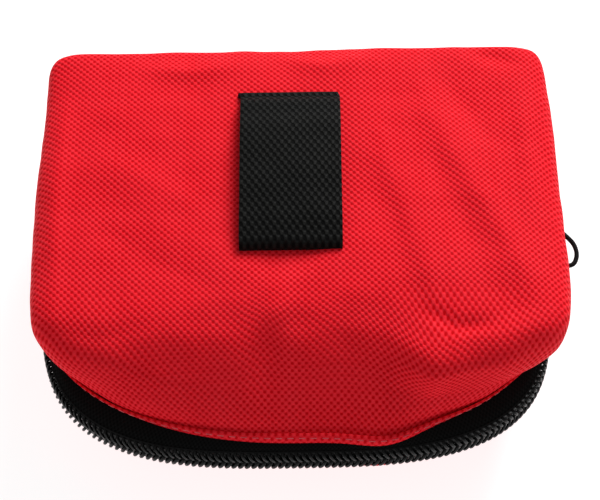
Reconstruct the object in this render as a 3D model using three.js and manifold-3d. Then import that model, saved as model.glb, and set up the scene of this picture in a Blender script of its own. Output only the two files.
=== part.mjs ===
// A pocket first aid kit: a soft D-shaped zip pouch in two dished halves, hinged on its flat spine,
// with a belt loop on the back, and the dressings and tools that it carries.
// It lies on its front, so the back with the belt loop is on top and the zip faces -Y.
// Millimetres, +Z up. The origin is on the flat front panel that the pouch rests on.
import * as THREE from "three";
import { mergeVertices } from "three/addons/utils/BufferGeometryUtils.js";
import Module from "manifold-3d";

const wasm = await Module();
wasm.setup();

// ---- driving dimensions ----
const pouchHeight = 44;
const zipZ = pouchHeight / 2;
const spineY = 50; // outer face of the spine
const bendY = -10; // where the straight sides turn into the rounded zip edge
const farTaper = 0.03; // share of the width lost towards the spine
const wall = 1.4; // fabric with its coating and foam
const gap = 0.3; // between pieces that touch
const zipSteps = 40; // steps along the zip
const roundSteps = 51; // steps round a shell
const turnSteps = 28; // steps round a turned body
const roofMiddleY = 12;
const farSquareness = 24; // the two corners at the spine are nearly square
const straightShare = 0.28; // share of the zip line's steps on each straight side

// Half width, foremost Y, squareness and rearmost Y of the D outline at distances from the zip plane.
const backLevels = [
  { rise: 5, halfWidth: 62, near: -52.8, power: 2.1, far: spineY },
  { rise: 9, halfWidth: 63.4, near: -49.5, power: 2.3, far: spineY },
  { rise: 13, halfWidth: 64.2, near: -44.5, power: 2.9, far: spineY },
  { rise: 17, halfWidth: 64, near: -38, power: 4.2, far: spineY },
  { rise: 20, halfWidth: 62.3, near: -32, power: 6, far: spineY - 0.3 },
  { rise: 21.5, halfWidth: 59, near: -28, power: 7, far: spineY - 1.5 },
  { rise: 22, halfWidth: 54, near: -24, power: 8, far: spineY - 5 },
];
const frontLevels = [
  { rise: 5, halfWidth: 62, near: -52.8, power: 2.1, far: spineY },
  { rise: 9, halfWidth: 62.5, near: -51, power: 2.1, far: spineY },
  { rise: 13, halfWidth: 62, near: -48.5, power: 2.2, far: spineY },
  { rise: 17, halfWidth: 61.4, near: -46.5, power: 2.2, far: spineY },
  { rise: 20, halfWidth: 60.5, near: -44, power: 2.3, far: spineY - 0.3 },
  { rise: 21.5, halfWidth: 58.5, near: -41.5, power: 2.4, far: spineY - 1.5 },
  { rise: 22, halfWidth: 55, near: -38, power: 2.5, far: spineY - 5 },
];
const hem = backLevels[0];
const coil = { halfWidth: 61.4, near: -55.2, power: 3.1, thickness: 2, width: 2.6, slot: 0.6 };
const tapeThickness = 0.8;
const binding = { thickness: 1.2, rise: 3.4, lean: 3, endY: 36 }; // it leans inwards with the wall
const zipEndY = 41;
const tapeEndY = 47;
const spineMargin = 5; // the spine strip stops this far inside the sides

const loop = { x: -0.9, width: 25, near: -11.5, far: 34.8, thickness: 1.5, gap: 4.7, pad: 4.5, climb: 7 };

const slider = { y: 33, length: 9, height: 8.4, narrow: 0.6, shoulder: 1, plate: 1, web: 0.5, margin: 0.5 };
const lug = { reach: 2.4, halfWidth: 3, halfHeight: 0.9, eyeReach: 1.6, eyeHalfWidth: 1.9 };
const tab = { length: 16, width: 6, thickness: 1, corner: 0.6, endCorner: 1 };
const tabEye = { bar: 1, length: 3, halfWidth: 1.2 };
const tabCordHole = { radius: 1.1, margin: 2.4 };
const cord = { diameter: 1.2, knot: [69.6, 10.6, 20.5], knotRadius: 1.5 };
const cordLead = [[62.8, 20, 22], [64.4, 19.9, 22], [66.2, 18.6, 21.8], [67.8, 16, 21.3], [69, 12.6, 20.8]];
const cordLoop = [
  [70.3, 8.6, 20.3], [71, 5, 20], [70.7, 1.4, 19.9], [69.2, -0.9, 19.8],
  [67.5, -0.4, 19.9], [66.8, 2.4, 20.1], [67.4, 6, 20.3], [68.6, 8.5, 20.4],
];

// Contents: a box is [x0, x1, y0, y1, z0, z1]; a pile is worked out from one sheet.
const floorZ = wall + 0.4;
const bandageRoll = { radius: 12, core: 2.5, near: -6, length: 50, x: [42.6, 18] };
const triangularBandage = [-53, -7, 6, 46, floorZ, 14];
const gloves = [-51, -9, 6, 45, 14.3, 18.8];
const spool = { x: -34, y: -12.5, outer: 17, core: 11, bore: 8.5, width: 12.5 };
const plaster = { x: -16.5, y: -25, length: 70, width: 18, thickness: 1.2, z: floorZ, count: 5 };
const wipe = { x: -56, y: -4, length: 48, width: 48, thickness: 1.6, z: 19.1, count: 4 };
const gauzePad = { x: -3, y: -10, length: 56, width: 56, thickness: 3.4, z: 26.2, count: 2 };
const pocketNet = [-50, 50, -20, 42, 39.2, 39.7];
const pocketBinding = [-50, 50, -26, -20.3, 39, 40];
const leaflet = [-36, 36, -16, 38, 40.3, 41.3];
const scissors = { x: -1, y: 4, z: 34, steel: 1.2, shank: 16, rivetHole: 1.8 };
const rivet = { radius: 1.5, headRadius: 2.6, head: 0.4 };
const bladeOutline = [
  [40, -0.4], [12, 2.6], [0, 3.4], [-4, 1], [-scissors.shank, -7.8], [-scissors.shank, -12.6],
  [-5, -4], [0, -3.4], [12, -2.2], [36, -1.4],
]; // from the rivet; it is mirrored for the other blade
const handle = { reachX: 12, reachY: 9.5, holeX: 8, holeY: 5.6, offset: 10.2, thickness: 3 };
const tweezers = { x: -15.5, y: -17, z: 10, length: 68, strip: 7, steel: 0.9 };
const tweezerOpening = { back: 0.2, widest: 4.6, widestAt: 40, tip: 2.94 }; // from the middle to one arm
const safetyPin = { length: 28, width: 7, wire: 1.2, cap: 6, x: -46, y: [-28.5, -3.5], z: 14.7 };

// ---- materials ----
function finish(colour, roughness, metalness = 0) {
  return new THREE.MeshStandardMaterial({ color: colour, roughness, metalness });
}

const redFabric = finish(0xd11f2c, 0.75);
const blackWebbing = finish(0x161615, 0.85);
const zipFabric = finish(0x0c0d0c, 0.8);
const zipNylon = finish(0x0e0e0e, 0.4);
const blackMetal = finish(0x141414, 0.35, 0.8);
const steel = finish(0xb9bcc0, 0.3, 1);
const gauze = finish(0xf1efe8, 0.9);
const whitePlastic = finish(0xe9eae8, 0.4);
const whitePaper = finish(0xe8e6df, 0.7);
const plasterPaper = finish(0xe2cdb2, 0.7);
const foilPaper = finish(0xdfe6ea, 0.45);
const redPlastic = finish(0xb41c24, 0.4);
const gloveFilm = finish(0x9fc2d8, 0.5);
const blackNet = finish(0x1b1b1b, 0.8);

// ---- helpers ----
const root = new THREE.Group();

function place(name, geometry, material, x = 0, y = 0, z = 0) {
  const mesh = new THREE.Mesh(geometry, material);
  mesh.name = name;
  mesh.position.set(x, y, z);
  root.add(mesh);
  return mesh;
}

function surface(position, index) {
  const geometry = new THREE.BufferGeometry();
  geometry.setAttribute("position", new THREE.Float32BufferAttribute(position, 3));
  geometry.setIndex(index);
  return geometry;
}

function solid(geometry) {
  const bare = geometry.clone();
  bare.deleteAttribute("normal");
  bare.deleteAttribute("uv");
  const merged = mergeVertices(bare, 1e-3);
  const vertProperties = new Float32Array(merged.attributes.position.array);
  const triVerts = new Uint32Array(merged.index.array);
  return new wasm.Manifold(new wasm.Mesh({ numProp: 3, vertProperties, triVerts }));
}

function geometryOf(made) {
  const mesh = made.getMesh();
  return surface(Array.from(mesh.vertProperties), Array.from(mesh.triVerts));
}

function box([x0, x1, y0, y1, z0, z1]) {
  const geometry = new THREE.BoxGeometry(x1 - x0, y1 - y0, z1 - z0);
  return geometry.translate((x0 + x1) / 2, (y0 + y1) / 2, (z0 + z1) / 2);
}

// A flat outline given as [x, y] pairs, with holes as paths, pulled up by its thickness.
function plate(points, thickness, holes = []) {
  const corners = points.map(([x, y]) => new THREE.Vector2(x, y));
  if (THREE.ShapeUtils.isClockWise(corners)) corners.reverse();
  const shape = new THREE.Shape(corners);
  shape.holes.push(...holes);
  return new THREE.ExtrudeGeometry(shape, { depth: thickness, bevelEnabled: false, curveSegments: 12 });
}

function roundHole(x, y, radius) {
  return new THREE.Path().absarc(x, y, radius, 0, 2 * Math.PI, true);
}

function rectangle(x0, x1, y0, y1) {
  return [[x0, y0], [x1, y0], [x1, y1], [x0, y1]];
}

function rectangleHole(x0, x1, y0, y1) {
  return new THREE.Path(rectangle(x0, x1, y0, y1).map(([x, y]) => new THREE.Vector2(x, y)));
}

// A round body on the Z axis from a closed profile of [radius, height] pairs.
function turned(profile) {
  const points = [...profile, profile[0]].map(([r, z]) => new THREE.Vector2(r, z));
  return new THREE.LatheGeometry(points, turnSteps).rotateX(Math.PI / 2);
}

function tube(points, diameter, steps) {
  const sides = 8;
  const corners = Array.from({ length: sides }, (_, i) => (i * 2 * Math.PI) / sides);
  const section = new THREE.Shape(
    corners.map((a) => new THREE.Vector2(Math.cos(a), Math.sin(a)).multiplyScalar(diameter / 2)),
  );
  const extrudePath = new THREE.CatmullRomCurve3(points.map((p) => new THREE.Vector3(...p)));
  return new THREE.ExtrudeGeometry(section, { steps, extrudePath, bevelEnabled: false });
}

// Faces between rings of equal length that lie one after another.
function skin(rings) {
  const n = rings[0].length;
  const position = rings.flat().flatMap((p) => [p.x, p.y, p.z]);
  const index = [];
  for (let r = 0; r + 1 < rings.length; r++) {
    for (let i = 0; i < n; i++) {
      const a = r * n + i;
      const b = r * n + ((i + 1) % n);
      index.push(a, b, a + n, b, b + n, a + n);
    }
  }
  return { position, index, n };
}

// A piece of the lower half is drawn like one of the upper half and turned over at the zip.
function backHalf(part, geometry, material) {
  place(`back_${part}`, geometry, material, 0, 0, zipZ);
}

function frontHalf(part, geometry, material) {
  place(`front_${part}`, geometry, material, 0, 0, zipZ).scale.z = -1;
}

function bothHalves(part, geometry, material) {
  backHalf(part, geometry, material);
  frontHalf(part, geometry, material);
}

// ---- the pouch's outlines ----
function signedPower(value, power) {
  return Math.sign(value) * Math.abs(value) ** power;
}

function narrowing(y) {
  return 1 - farTaper * Math.max(0, (y - bendY) / (spineY - bendY));
}

function nearArc(level, grow, angle) {
  const exponent = 2 / level.power;
  const x = (level.halfWidth + grow) * signedPower(Math.cos(angle), exponent);
  const y = bendY + (bendY - level.near + grow) * signedPower(Math.sin(angle), exponent);
  return new THREE.Vector3(x, y, 0);
}

// A closed D: a rounded edge towards -Y and a nearly square end towards +Y.
class DOutline extends THREE.Curve {
  constructor(level, inset) {
    super();
    Object.assign(this, { level, inset, arcLengthDivisions: 1600 });
  }

  getPoint(t) {
    const { level, inset } = this;
    const angle = Math.PI / 2 + t * 2 * Math.PI;
    if (Math.sin(angle) < 0) return nearArc(level, -inset, angle);
    const corner = 2 / farSquareness;
    const y = bendY + (level.far - inset - bendY) * signedPower(Math.sin(angle), corner);
    const x = (level.halfWidth - inset) * signedPower(Math.cos(angle), corner);
    return new THREE.Vector3(x * narrowing(y), y, 0);
  }
}

// The open line of the zip: down the right side, round the near edge and up the left side.
class ZipLine extends THREE.Curve {
  constructor(level, grow, endY) {
    super();
    Object.assign(this, { level, grow, endY, arcLengthDivisions: 1600 });
  }

  getPoint(t) {
    const { level, grow, endY } = this;
    const side = straightShare;
    if (t > side && t < 1 - side) return nearArc(level, grow, (-Math.PI * (t - side)) / (1 - 2 * side));
    const up = t <= side ? 1 - t / side : (t - 1 + side) / side;
    const y = bendY + (endY - bendY) * up;
    const x = (level.halfWidth + grow) * narrowing(y);
    return new THREE.Vector3(t <= side ? x : -x, y, 0);
  }
}

// ---- the pouch ----
function dishShell(levels) {
  const ring = (level, inset, z) => {
    const points = new DOutline(level, inset).getSpacedPoints(roundSteps).slice(0, roundSteps);
    return points.map((p) => p.setZ(z));
  };
  const outer = levels.map((level) => ring(level, 0, level.rise));
  const inner = levels.slice(0, -2).map((level) => ring(level, wall, level.rise));
  inner.push(ring(levels.at(-2), wall, levels.at(-1).rise - wall));
  const { position, index, n } = skin([...inner.reverse(), ...outer]);
  const top = position.length / 3 - n;
  const middle = position.length / 3;
  position.push(0, roofMiddleY, outer.at(-1)[0].z - wall, 0, roofMiddleY, outer.at(-1)[0].z);
  for (let i = 0; i < n; i++) {
    const next = (i + 1) % n;
    index.push(next, i, middle, top + i, top + next, middle + 1);
  }
  return surface(position, index);
}

// A strip along the zip, from four corners given as [level, grow, height above the zip plane].
function zipStrip(corners, endY) {
  const lines = corners.map(([level, grow, rise]) =>
    new ZipLine(level, grow, endY).getSpacedPoints(zipSteps).map((p) => p.setZ(rise)),
  );
  const { position, index, n } = skin(lines[0].map((_, i) => lines.map((line) => line[i])));
  const end = position.length / 3 - n;
  index.push(0, 2, 1, 0, 3, 2, end, end + 1, end + 2, end, end + 2, end + 3);
  return surface(position, index);
}

function zipCoil() {
  const half = coil.thickness / 2;
  const low = coil.slot;
  const high = coil.slot + coil.width;
  const corners = [[coil, half, low], [coil, half, high], [coil, -half, high], [coil, -half, low]];
  return zipStrip(corners, zipEndY);
}

function zipTape() {
  const half = tapeThickness / 2;
  const low = coil.slot + coil.width + gap;
  const high = hem.rise - gap;
  const corners = [[coil, half, low], [hem, 0, high], [hem, -tapeThickness, high], [coil, -half, low]];
  return zipStrip(corners, tapeEndY);
}

function seamBinding() {
  const { thickness, rise, lean, endY } = binding;
  const out = -wall - 2 * gap;
  const back = out - thickness;
  const top = hem.rise + rise;
  const outside = [[hem, out, hem.rise], [hem, out - lean, top]];
  const inside = [[hem, back - lean, top], [hem, back, hem.rise]];
  return zipStrip([...outside, ...inside], endY);
}

function pouch() {
  backHalf("panel", dishShell(backLevels), redFabric);
  frontHalf("panel", dishShell(frontLevels), redFabric);
  bothHalves("seam_binding", seamBinding(), blackWebbing);
  bothHalves("zip_tape", zipTape(), zipFabric);
  bothHalves("zip_coil", zipCoil(), zipNylon);

  const halfSpine = hem.halfWidth * narrowing(spineY) - spineMargin;
  bothHalves("spine", box([-halfSpine, halfSpine, spineY - wall, spineY, gap, hem.rise - gap]), redFabric);

  // Folded ends of tape close the opening between the coil's ends and the spine.
  const endX = coil.halfWidth * narrowing(spineY);
  const ends = [zipEndY + gap, tapeEndY, gap, coil.slot + coil.width];
  bothHalves("zip_end_right", box([endX - binding.thickness, endX, ...ends]), zipFabric);
  bothHalves("zip_end_left", box([-endX, binding.thickness - endX, ...ends]), zipFabric);
}

// One length of webbing. Its ends are turned under and sewn down, so it is double there.
function beltLoop() {
  const steps = 6;
  const climb = (from, to) =>
    Array.from({ length: steps + 1 }, (_, i) => {
      const t = i / steps;
      return [loop.pad + loop.climb * t, from + (to - from) * t * t * (3 - 2 * t)];
    });
  const nearEnd = ([distance, z]) => [loop.near + distance, z];
  const farEnd = ([distance, z]) => [loop.far - distance, z];
  const double = 2 * loop.thickness;
  const under = [[0, 0], ...climb(0, loop.gap)];
  const over = [[0, double], ...climb(double, loop.gap + loop.thickness)];
  const profile = [
    ...under.map(nearEnd),
    ...under.map(farEnd).reverse(),
    ...over.map(farEnd),
    ...over.map(nearEnd).reverse(),
  ];
  const webbing = plate(profile, loop.width).rotateX(Math.PI / 2).rotateZ(Math.PI / 2);
  place("belt_loop", webbing, blackWebbing, loop.x - loop.width / 2, 0, pouchHeight + gap);
}

// ---- zip slider, pull tab and its cord ----
const sliderX = coil.halfWidth * narrowing(slider.y);
const sideLean = Math.atan((coil.halfWidth * farTaper) / (spineY - bendY));
const plateX = coil.thickness / 2 + gap; // inner face of a slider plate, from the middle of the coil

// Turns a plate drawn as [y, z] so that its thickness runs along X.
function upright(points, thickness, holes) {
  return plate(points, thickness, holes).rotateX(Math.PI / 2).rotateZ(Math.PI / 2);
}

function placeOnZip(name, geometry, material) {
  place(name, geometry, material, sliderX, slider.y, zipZ).rotation.z = sideLean;
}

function zipSlider() {
  const half = slider.length / 2;
  const tall = slider.height / 2;
  const narrow = slider.narrow * tall;
  const turn = slider.shoulder;
  const lower = [[-half, -narrow], [turn, -tall], [half, -tall]];
  const outline = [...lower, [half, tall], [turn, tall], [-half, narrow]];
  const inner = upright(outline, slider.plate).translate(-plateX - slider.plate, 0, 0);
  const outer = upright(outline, slider.plate).translate(plateX, 0, 0);
  const overlap = 0.2;
  const webReach = plateX + overlap;
  const web = box([-webReach, webReach, 0, half - slider.margin, -slider.web / 2, slider.web / 2]);
  const face = plateX + slider.plate;
  const { reach, halfWidth, halfHeight, eyeReach, eyeHalfWidth } = lug;
  const lugBar = box([face - overlap, face + reach, -halfWidth, halfWidth, -halfHeight, halfHeight]);
  const lugEye = box([face, face + eyeReach, -eyeHalfWidth, eyeHalfWidth, -tall, tall]);
  const body = solid(outer).add(solid(inner)).add(solid(web)).add(solid(lugBar).subtract(solid(lugEye)));
  placeOnZip("zip_slider", geometryOf(body), blackMetal);
}

function pullTab() {
  const top = tabEye.bar / 2;
  const end = top - tab.length;
  const half = tab.width / 2;
  const { corner, endCorner } = tab;
  const outline = [
    [end, -half + endCorner], [end + endCorner, -half], [top - corner, -half], [top, -half + corner],
    [top, half - corner], [top - corner, half], [end + endCorner, half], [end, half - endCorner],
  ];
  const eye = rectangleHole(-top - tabEye.length, -top, -tabEye.halfWidth, tabEye.halfWidth);
  const cordHole = roundHole(end + tabCordHole.margin, 0, tabCordHole.radius);
  const geometry = upright(outline, tab.thickness, [eye, cordHole]);
  placeOnZip("pull_tab", geometry.translate(plateX + slider.plate + gap, 0, 0), blackMetal);
}

function pullCord() {
  place("pull_cord_lead", tube(cordLead, cord.diameter, 5), blackWebbing);
  place("pull_cord_loop", tube(cordLoop, cord.diameter, 12), blackWebbing);
  place("pull_cord_knot", new THREE.SphereGeometry(cord.knotRadius, 12, 8), blackWebbing, ...cord.knot);
}

// ---- contents ----
function pile(name, sheet, material) {
  for (let i = 0; i < sheet.count; i++) {
    const z = sheet.z + i * (sheet.thickness + gap);
    const shift = 0.6 * (i % 2); // a pile is never quite square
    const xs = [sheet.x + shift, sheet.x + shift + sheet.length];
    const geometry = box([...xs, sheet.y, sheet.y + sheet.width, z, z + sheet.thickness]);
    place(`${name}_${i + 1}`, geometry, material);
  }
}

function bandageRolls() {
  bandageRoll.x.forEach((x, i) => {
    const { radius, core, length, near } = bandageRoll;
    const roll = turned([[core, 0], [radius, 0], [radius, length], [core, length]]);
    place(`bandage_roll_${i + 1}`, roll.rotateX(-Math.PI / 2), gauze, x, near, floorZ + radius);
  });
}

function tapeRoll() {
  const { outer, core, bore, width, x, y } = spool;
  const flange = 1;
  const lip = core + 1.5;
  const spoolProfile = [[bore, 0], [lip, 0], [lip, flange], [core, flange], [core, width], [bore, width]];
  const low = flange + gap;
  const tapeProfile = [[core + gap, low], [outer, low], [outer, width], [core + gap, width]];
  place("tape_spool", turned(spoolProfile), whitePlastic, x, y, floorZ);
  place("adhesive_tape", turned(tapeProfile), gauze, x, y, floorZ);
}

// Each half has its blade on one side of the rivet and its shank on the other.
function scissorHalf(number, side, z) {
  const outline = bladeOutline.map(([x, y]) => [x, y * side]);
  const bladePlate = plate(outline, scissors.steel, [roundHole(0, 0, scissors.rivetHole)]);
  place(`scissor_blade_${number}`, bladePlate, steel, scissors.x, scissors.y, z);

  const ring = new THREE.Shape().absellipse(0, 0, handle.reachX, handle.reachY, 0, 2 * Math.PI);
  ring.holes.push(new THREE.Path().absellipse(0, 0, handle.holeX, handle.holeY, 0, 2 * Math.PI, true));
  const grip = new THREE.ExtrudeGeometry(ring, { depth: handle.thickness, bevelEnabled: false });
  const x = scissors.x - scissors.shank - gap - handle.reachX;
  place(`scissor_handle_${number}`, grip, redPlastic, x, scissors.y - handle.offset * side, scissors.z);
}

function scissorPair() {
  scissorHalf(1, 1, scissors.z);
  scissorHalf(2, -1, scissors.z + scissors.steel + gap);
  const { radius, headRadius, head } = rivet;
  const low = 2 * scissors.steel + 2 * gap;
  const high = low + head;
  const pin = turned([[0, 0], [radius, 0], [radius, low], [headRadius, low], [headRadius, high], [0, high]]);
  place("scissor_rivet", pin, steel, scissors.x, scissors.y, scissors.z);
}

function tweezerArm(name, side) {
  const { length } = tweezers;
  const { back, widest, widestAt, tip } = tweezerOpening;
  const steps = 12;
  const apart = (d) =>
    d < widestAt
      ? back + ((widest - back) * d) / widestAt
      : widest + ((tip - widest) * (d - widestAt)) / (length - widestAt);
  const inside = Array.from({ length: steps + 1 }, (_, i) => {
    const d = (length * i) / steps;
    return [d, side * apart(d)];
  });
  const outside = inside.map(([d, y]) => [d, y + side * tweezers.steel]).reverse();
  const arm = plate([...inside, ...outside], tweezers.strip);
  place(name, arm, steel, tweezers.x, tweezers.y, tweezers.z);
}

function safetyPins() {
  const { length, width, wire, cap } = safetyPin;
  safetyPin.y.forEach((y, i) => {
    const slot = rectangleHole(wire, length - cap, wire, width - wire);
    const pin = plate(rectangle(0, length, 0, width), wire, [slot]);
    place(`safety_pin_${i + 1}`, pin, steel, safetyPin.x, y, safetyPin.z);
  });
}

pouch();
beltLoop();
zipSlider();
pullTab();
pullCord();
bandageRolls();
tapeRoll();
place("triangular_bandage", box(triangularBandage), foilPaper);
place("gloves_packet", box(gloves), gloveFilm);
pile("plaster", plaster, plasterPaper);
pile("wipe_sachet", wipe, foilPaper);
pile("gauze_pad", gauzePad, whitePaper);
place("pocket_net", box(pocketNet), blackNet);
place("pocket_binding", box(pocketBinding), blackWebbing);
place("guide_leaflet", box(leaflet), whitePaper);
scissorPair();
tweezerArm("tweezer_arm_1", -1);
tweezerArm("tweezer_arm_2", 1);
safetyPins();

export default root;
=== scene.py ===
import math

import bpy
import numpy as np
from mathutils import Matrix, Vector, noise


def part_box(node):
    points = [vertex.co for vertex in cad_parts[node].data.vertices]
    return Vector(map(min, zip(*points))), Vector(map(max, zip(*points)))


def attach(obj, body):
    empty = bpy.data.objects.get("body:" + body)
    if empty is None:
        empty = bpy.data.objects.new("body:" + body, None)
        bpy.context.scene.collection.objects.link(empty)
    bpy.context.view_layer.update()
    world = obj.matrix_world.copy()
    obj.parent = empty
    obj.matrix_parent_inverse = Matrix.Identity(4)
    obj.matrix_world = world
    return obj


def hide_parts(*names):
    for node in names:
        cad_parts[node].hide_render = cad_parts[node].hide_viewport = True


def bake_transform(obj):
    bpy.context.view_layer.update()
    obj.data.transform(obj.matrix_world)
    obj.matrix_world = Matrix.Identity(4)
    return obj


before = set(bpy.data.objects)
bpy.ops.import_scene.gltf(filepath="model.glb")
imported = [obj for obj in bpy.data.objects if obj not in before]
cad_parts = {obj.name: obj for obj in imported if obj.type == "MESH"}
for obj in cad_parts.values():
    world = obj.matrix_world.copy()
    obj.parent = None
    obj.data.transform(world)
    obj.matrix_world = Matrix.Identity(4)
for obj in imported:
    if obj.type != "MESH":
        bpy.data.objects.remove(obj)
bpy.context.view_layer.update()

mm = 0.001
degree = math.pi / 180
scene = bpy.context.scene
scene.view_settings.view_transform = "Standard"

camera = {
    "elevation": 57.5 * degree,
    "azimuth": -0.24 * degree,
    "roll": -0.67 * degree,
    "distance": 496.3 * mm,
    "aimHeight": 25 * mm,
    "lens": 119.5,
    "shift": (0.0075, 0.0102),
}


def makeCamera():
    e, a, r = camera["elevation"], camera["azimuth"], camera["roll"]
    back = Vector((math.sin(a) * math.cos(e), -math.cos(a) * math.cos(e), math.sin(e)))
    right = Vector((math.cos(a), math.sin(a), 0))
    up = back.cross(right)
    side = right * math.cos(r) + up * math.sin(r)
    rise = up * math.cos(r) - right * math.sin(r)
    bpy.ops.object.camera_add()
    cam = bpy.context.object
    cam.matrix_world = Matrix((side, rise, back)).transposed().to_4x4()
    cam.location = Vector((0, 0, camera["aimHeight"])) + back * camera["distance"]
    cam.data.lens = camera["lens"]
    cam.data.shift_x, cam.data.shift_y = camera["shift"]
    cam.data.clip_start, cam.data.clip_end = 0.01, 20
    scene.camera = cam


makeCamera()
print("camera is set")


def deselect():
    if bpy.context.object and bpy.context.object.mode != "OBJECT":
        bpy.ops.object.mode_set(mode="OBJECT")
    bpy.ops.object.select_all(action="DESELECT")


def pick(piece):
    deselect()
    piece.select_set(True)
    bpy.context.view_layer.objects.active = piece


def settlePlace(piece):
    pick(piece)
    bpy.ops.object.transform_apply(location=True, rotation=True, scale=True)
    return piece


def applyAll(piece):
    pick(piece)
    for modifier in list(piece.modifiers):
        bpy.ops.object.modifier_apply(modifier=modifier.name)


def smooth(piece, angle=40):
    pick(piece)
    bpy.ops.object.shade_smooth_by_angle(angle=angle * degree)
    return piece


def smoothAll(piece):
    pick(piece)
    bpy.ops.object.shade_smooth()


def editAll(piece, *steps):  # runs edit mode steps on the whole piece
    pick(piece)
    bpy.ops.object.mode_set(mode="EDIT")
    bpy.ops.mesh.select_all(action="SELECT")
    for step in steps:
        step()
    bpy.ops.object.mode_set(mode="OBJECT")


def outwards(piece):  # merges what meets and turns every face out
    editAll(
        piece,
        lambda: bpy.ops.mesh.remove_doubles(threshold=0.003 * mm),
        lambda: bpy.ops.mesh.normals_make_consistent(inside=False),
    )


def points(piece):
    co = np.empty(len(piece.data.vertices) * 3)
    piece.data.vertices.foreach_get("co", co)
    return co.reshape(-1, 3)


def setPoints(piece, co):
    piece.data.vertices.foreach_set("co", np.ascontiguousarray(co, dtype=np.float32).ravel())
    piece.data.update()


def normals(piece):
    n = np.empty(len(piece.data.vertices) * 3)
    piece.data.vertices.foreach_get("normal", n)
    return n.reshape(-1, 3)


def paintUv(piece, uv):  # one pair of metres for each vertex
    layer = piece.data.uv_layers.active or piece.data.uv_layers.new(name="UVMap")
    corners = np.empty(len(piece.data.loops), dtype=np.int32)
    piece.data.loops.foreach_get("vertex_index", corners)
    layer.data.foreach_set("uv", np.ascontiguousarray(uv[corners], dtype=np.float32).ravel())


def join(name, pieces):
    deselect()
    for piece in pieces:
        piece.select_set(True)
    bpy.context.view_layer.objects.active = pieces[0]
    bpy.ops.object.join()
    made = bpy.context.object
    made.name = made.data.name = name
    return made


def finishPiece(piece, name, body, material, nodes=()):
    piece.name = piece.data.name = name
    piece.data.materials.clear()
    piece.data.materials.append(material)
    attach(piece, body)
    if nodes:
        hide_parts(*nodes)
    return piece


def refinish(material, *nodes):
    for node in nodes:
        for slotOfNode in bpy.data.objects[node].material_slots:
            slotOfNode.material = material


def gridPiece(across, along):  # a flat grid from -1 to 1 both ways, and where each of its points lies
    deselect()
    bpy.ops.mesh.primitive_grid_add(x_subdivisions=across, y_subdivisions=along, size=2)
    piece = bpy.context.object
    return piece, points(piece)[:, :2]


def ramp(value, start, length):  # climbs from 0 at the start to 1
    return np.clip((value - start) / length, 0, 1)


def stepOf(value, steps):  # which of the grid's lines a value from -1 to 1 is on
    return np.rint((value + 1) / 2 * steps).astype(int)


def between(low, high, value, margin=0):  # a value from -1 to 1, carried between two places
    return (low + high) / 2 + value * ((high - low) / 2 - margin)


def roundedBox(low, high, bevel, segments=3):
    deselect()
    bpy.ops.mesh.primitive_cube_add(size=1, location=(Vector(low) + Vector(high)) / 2)
    piece = bpy.context.object
    piece.scale = Vector(high) - Vector(low)
    settlePlace(piece)
    editAll(piece, lambda: bpy.ops.mesh.bevel(offset=bevel, segments=segments, affect="EDGES"))
    return smooth(piece)


def ripple(co, scale, amount, seed):
    return np.array([noise.noise(Vector(p) / scale + Vector((seed, 2 * seed, 3 * seed))) for p in co]) * amount


def wall(piece, thickness, offset=-1):
    modifier = piece.modifiers.new("wall", "SOLIDIFY")
    modifier.thickness = thickness
    modifier.offset = offset
    applyAll(piece)


def fine(piece, levels=1):
    modifier = piece.modifiers.new("fine", "SUBSURF")
    modifier.levels = modifier.render_levels = levels
    applyAll(piece)


def evenly(line, count, endpoint=True):  # the same line with evenly spaced points
    along = np.concatenate([[0], np.cumsum(np.linalg.norm(np.diff(line, axis=0), axis=1))])
    even = np.linspace(0, along[-1], count, endpoint=endpoint)
    return np.stack([np.interp(even, along, line[:, i]) for i in range(line.shape[1])], axis=1)


def lengthOf(line):
    return float(np.linalg.norm(np.diff(line, axis=0), axis=1).sum())


def throughPoints(route, steps):  # a smooth line through the points
    p = np.array(route, dtype=float)
    ends = np.vstack([2 * p[0] - p[1], p, 2 * p[-1] - p[-2]])
    line = []
    for i in range(1, len(ends) - 2):
        a, b, c, d = ends[i - 1 : i + 3]
        square, cube = 2 * a - 5 * b + 4 * c - d, 3 * b - 3 * c + d - a
        for t in np.arange(0, 1, 0.05):
            line.append(0.5 * (2 * b + (c - a) * t + square * t**2 + cube * t**3))
    return evenly(np.array(line + [p[-1]]), steps)


def curvePiece(name, line, depth, closed=False, rounds=3):
    data = bpy.data.curves.new(name, "CURVE")
    data.dimensions = "3D"
    data.bevel_depth = depth
    data.bevel_resolution = rounds
    data.use_fill_caps = True
    spline = data.splines.new("POLY")
    spline.points.add(len(line) - 1)
    for point, spot in zip(spline.points, line):
        point.co = (*spot, 1)
    spline.use_cyclic_u = closed
    piece = bpy.data.objects.new(name, data)
    scene.collection.objects.link(piece)
    return piece


def toMesh(piece):
    pick(piece)
    bpy.ops.object.convert(target="MESH")
    return bpy.context.object


def copiesAlong(piece, spots, alongs, out=0, height=0):  # a copy at each spot of a plan line, x along the line
    source = points(piece)
    copies = []
    for spot, along in zip(spots, alongs / np.linalg.norm(alongs, axis=1)[:, None]):
        copy = bpy.data.objects.new(piece.name, piece.data.copy())
        scene.collection.objects.link(copy)
        outward = np.array([-along[1], along[0]])
        plan = spot + source[:, :1] * along + (source[:, 1:2] + out) * outward
        setPoints(copy, np.column_stack([plan, source[:, 2] + height]))
        copies.append(copy)
    bpy.data.objects.remove(piece)
    return copies


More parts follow.
